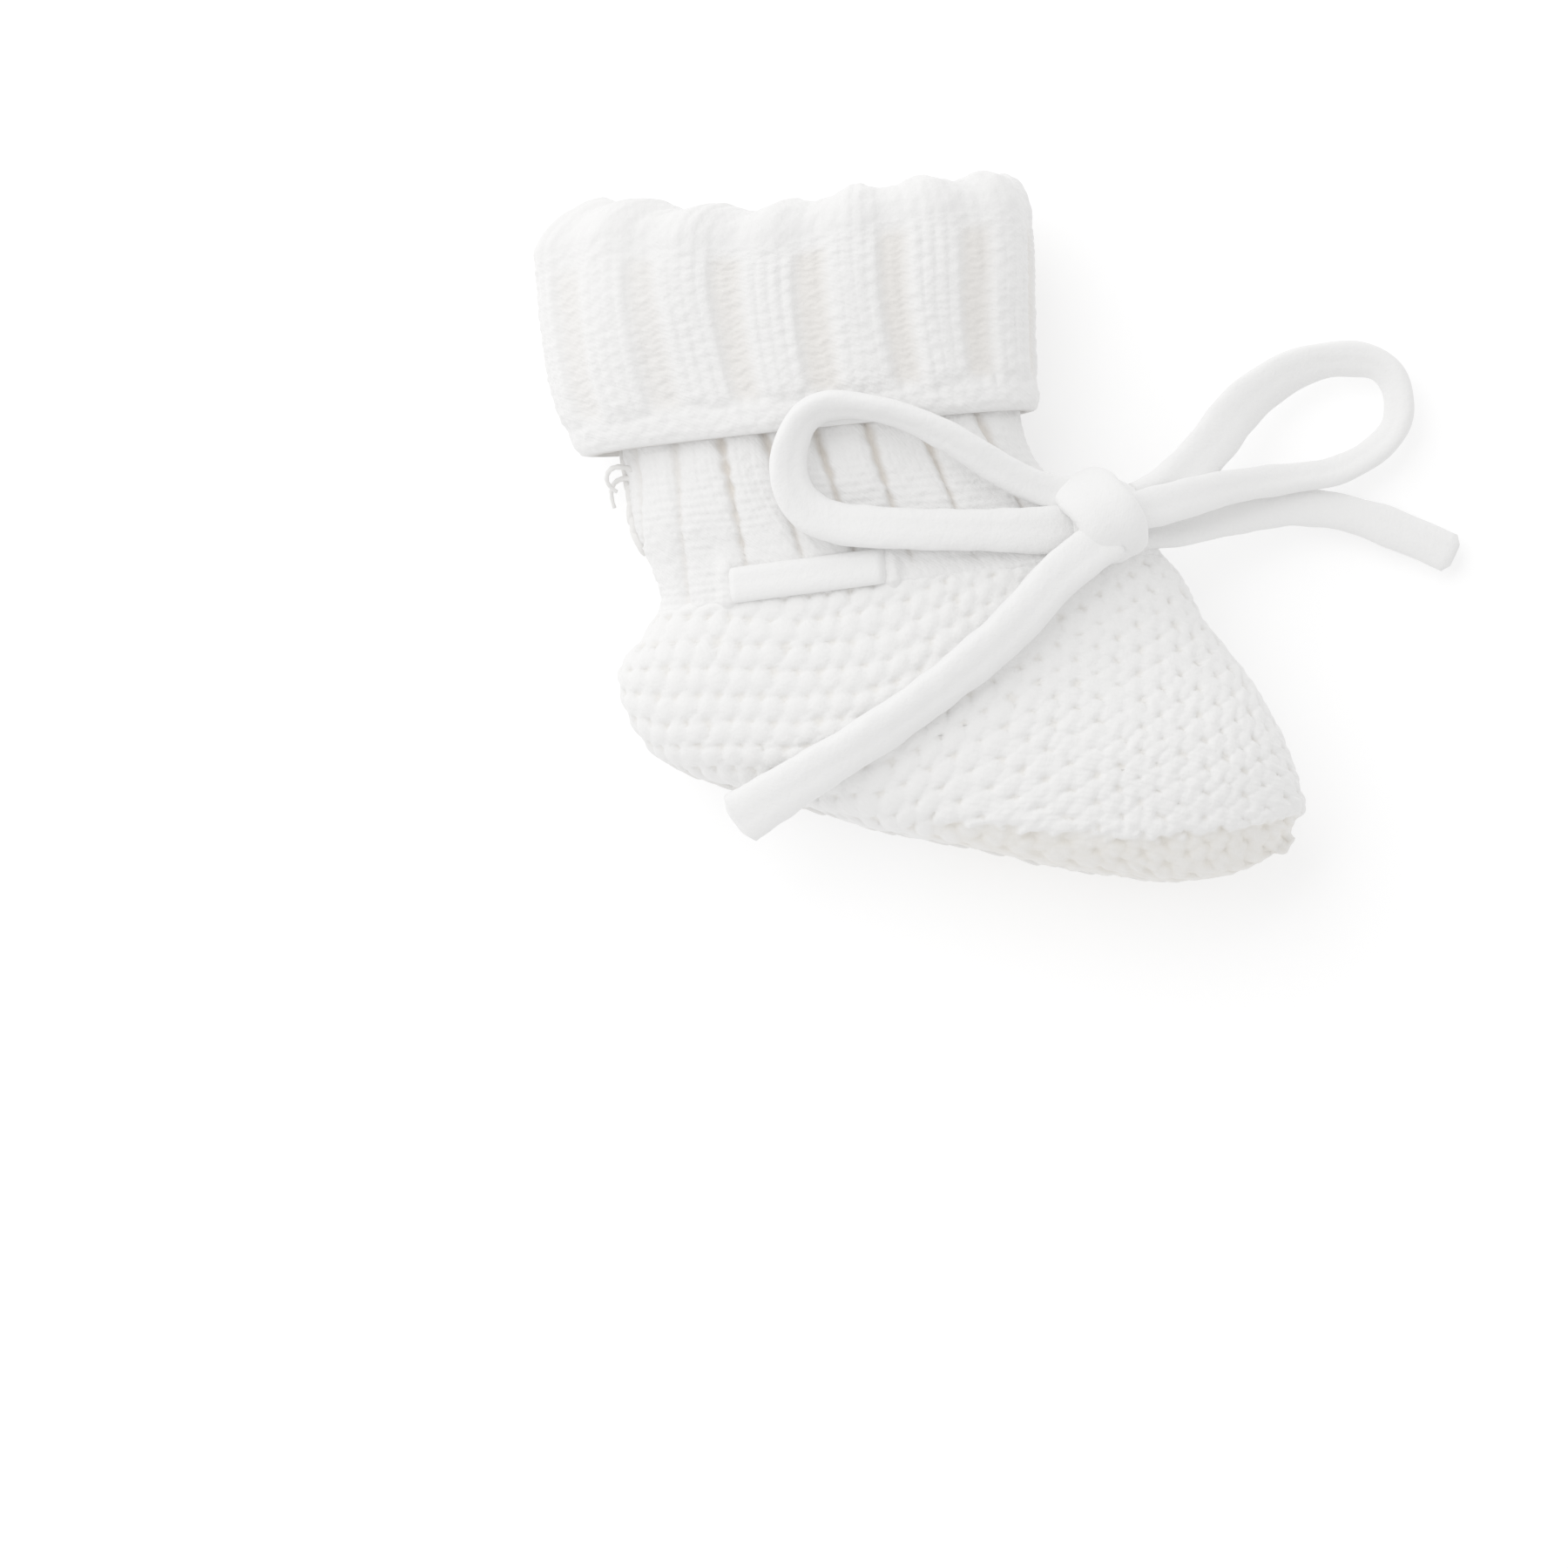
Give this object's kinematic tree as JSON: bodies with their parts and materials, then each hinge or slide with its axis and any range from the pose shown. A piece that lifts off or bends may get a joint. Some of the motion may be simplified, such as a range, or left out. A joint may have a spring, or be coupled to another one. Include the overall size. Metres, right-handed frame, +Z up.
{
  "type": "baby bootie",
  "caption": "Soft knitted baby bootie with a ribbed leg, turned-down cuff, garter-stitch foot and a tape tie in a bow at the ankle, lying on its side.",
  "frame": {"origin": "middle of the bootie's box, without the bow's free ends, on the surface it lies on", "axes": "+X along the sole from heel to toe, +Y from the sole towards the leg opening, +Z up from the surface, through the bootie from side to side"},
  "size_m": [0.1416, 0.1033, 0.0336],
  "materials": {
    "garter_knit": "thick garter stitch in soft white cotton yarn, matt",
    "rib_knit": "ribbed knit in soft white cotton yarn, matt",
    "tape": "fine white cotton jersey tape, rolled flat, matt",
    "seam_yarn": "white cotton linking yarn, matt"
  },
  "bodies": {
    "foot": {"foot_shell": "garter_knit", "ankle_rib": "rib_knit", "sole_seam": "seam_yarn", "back_seam": "seam_yarn", "tie_band": "tape", "bow_knot": "tape", "bow_loop_left": "tape", "bow_loop_right": "tape", "bow_tail_left": "tape", "bow_tail_right": "tape"},
    "leg": {"leg_lining": "rib_knit", "turned_cuff": "rib_knit"}
  },
  "joints": [
    {"name": "ankle_flex", "type": "hinge", "parent": "foot", "child": "leg", "pos_m": [-0.01432, -0.00574, 0.0138], "axis": [0, 0, 1], "range_deg": [-15, 15], "deforming": ["ankle_rib", "back_seam"]}
  ]
}
